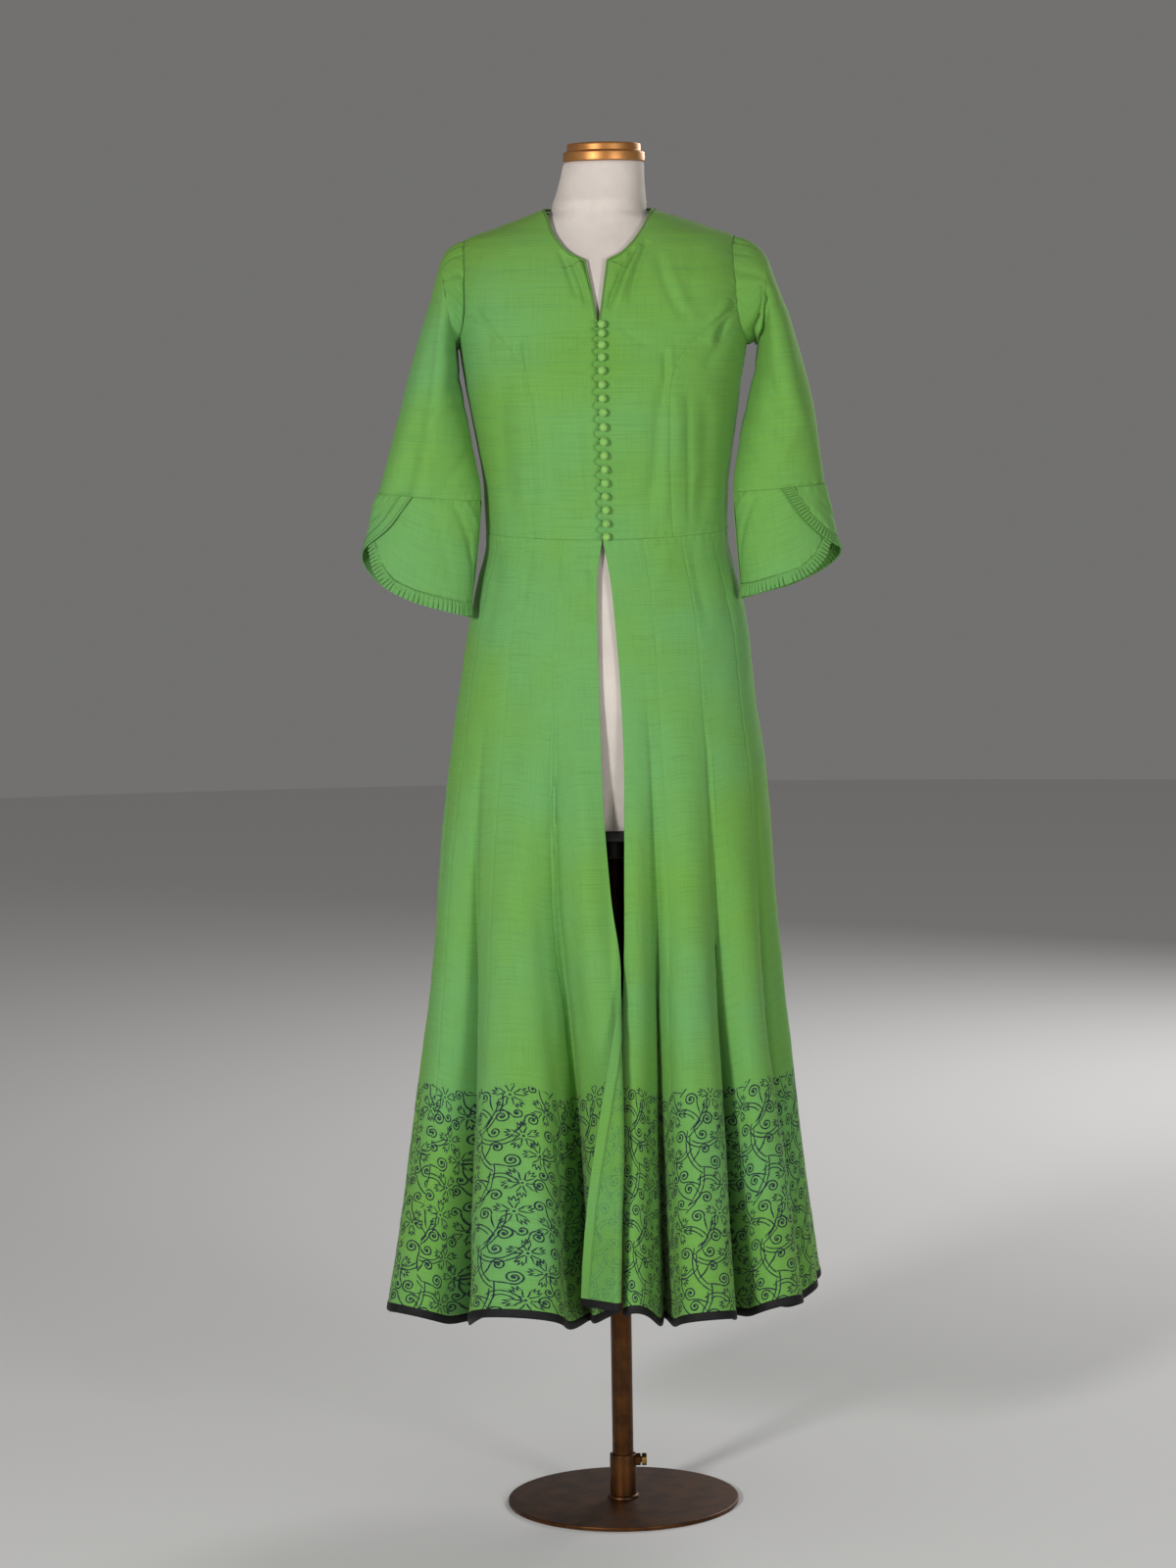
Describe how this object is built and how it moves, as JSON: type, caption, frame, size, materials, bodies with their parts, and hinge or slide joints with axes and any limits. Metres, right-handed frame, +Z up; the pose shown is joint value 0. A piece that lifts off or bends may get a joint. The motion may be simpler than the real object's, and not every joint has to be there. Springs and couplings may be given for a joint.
{
  "type": "long kurti on a limbless dress form with a stand",
  "caption": "Long front-open kurti with a gored flared skirt, loop-and-ball buttons and tulip cuffs, worn by a limbless dress form on a round-based stand.",
  "frame": {"origin": "centre of the underside of the round base plate, where the stand rests on the floor", "axes": "+Z is up along the pole, -Y is the front of the garment with its button opening, +X is to the right of someone who looks at the front"},
  "size_m": [0.5644, 0.4354, 1.607],
  "materials": {
    "kurti_cloth": "handloom cotton, lightly shot",
    "kurti_trim": "handloom cotton",
    "hem_black": "plain cotton binding",
    "form_cloth": "fine jersey cover",
    "form_board": "black lacquer",
    "cap_gold": "satin",
    "stand_bronze": "bronze paint, satin",
    "bolt_brass": "plated"
  },
  "bodies": {
    "stand_base": {"base_plate": "stand_bronze", "collar": "stand_bronze"},
    "lock_screw": {"set_bolt": "bolt_brass"},
    "upright": {"pole": "stand_bronze"},
    "form": {"bodice_front_left": "kurti_cloth", "bodice_front_right": "kurti_cloth", "bodice_side_left": "kurti_cloth", "bodice_side_right": "kurti_cloth", "bodice_back": "kurti_cloth", "sleeve_left": "kurti_cloth", "sleeve_right": "kurti_cloth", "cuff_left_front": "kurti_cloth", "cuff_left_back": "kurti_cloth", "cuff_right_front": "kurti_cloth", "cuff_right_back": "kurti_cloth", "skirt_gore_1": "kurti_cloth", "skirt_gore_2": "kurti_cloth", "skirt_gore_3": "kurti_cloth", "skirt_gore_4": "kurti_cloth", "skirt_gore_5": "kurti_cloth", "skirt_gore_6": "kurti_cloth", "skirt_gore_7": "kurti_cloth", "skirt_gore_8": "kurti_cloth", "skirt_gore_9": "kurti_cloth", "skirt_gore_10": "kurti_cloth", "skirt_gore_11": "kurti_cloth", "skirt_gore_12": "kurti_cloth", "skirt_gore_13": "kurti_cloth", "skirt_gore_14": "kurti_cloth", "skirt_gore_15": "kurti_cloth", "skirt_gore_16": "kurti_cloth", "neck_piping": "kurti_trim", "button_loops": "kurti_trim", "front_facing_left": "kurti_trim", "front_facing_right": "kurti_trim", "button_1": "kurti_trim", "button_2": "kurti_trim", "button_3": "kurti_trim", "button_4": "kurti_trim", "button_5": "kurti_trim", "button_6": "kurti_trim", "button_7": "kurti_trim", "button_8": "kurti_trim", "button_9": "kurti_trim", "button_10": "kurti_trim", "button_11": "kurti_trim", "button_12": "kurti_trim", "button_13": "kurti_trim", "button_14": "kurti_trim", "button_15": "kurti_trim", "button_16": "kurti_trim", "button_17": "kurti_trim", "cuff_left_front_pleats": "kurti_trim", "cuff_left_back_pleats": "kurti_trim", "cuff_right_front_pleats": "kurti_trim", "cuff_right_back_pleats": "kurti_trim", "hem_binding": "hem_black", "dress_form": "form_cloth", "form_board": "form_board", "neck_cap": "cap_gold"}
  },
  "joints": [
    {"name": "pole_slide", "type": "slide", "parent": "stand_base", "child": "upright", "axis": [0, 0, 1], "range_m": [0, 0.04]},
    {"name": "form_swivel", "type": "hinge", "parent": "upright", "child": "form", "pos_m": [0, 0, 0.794], "axis": [0, 0, 1], "continuous": true},
    {"name": "screw_turn", "type": "hinge", "parent": "stand_base", "child": "lock_screw", "pos_m": [0.024, 0, 0.05], "axis": [1, 0, 0], "continuous": true}
  ]
}
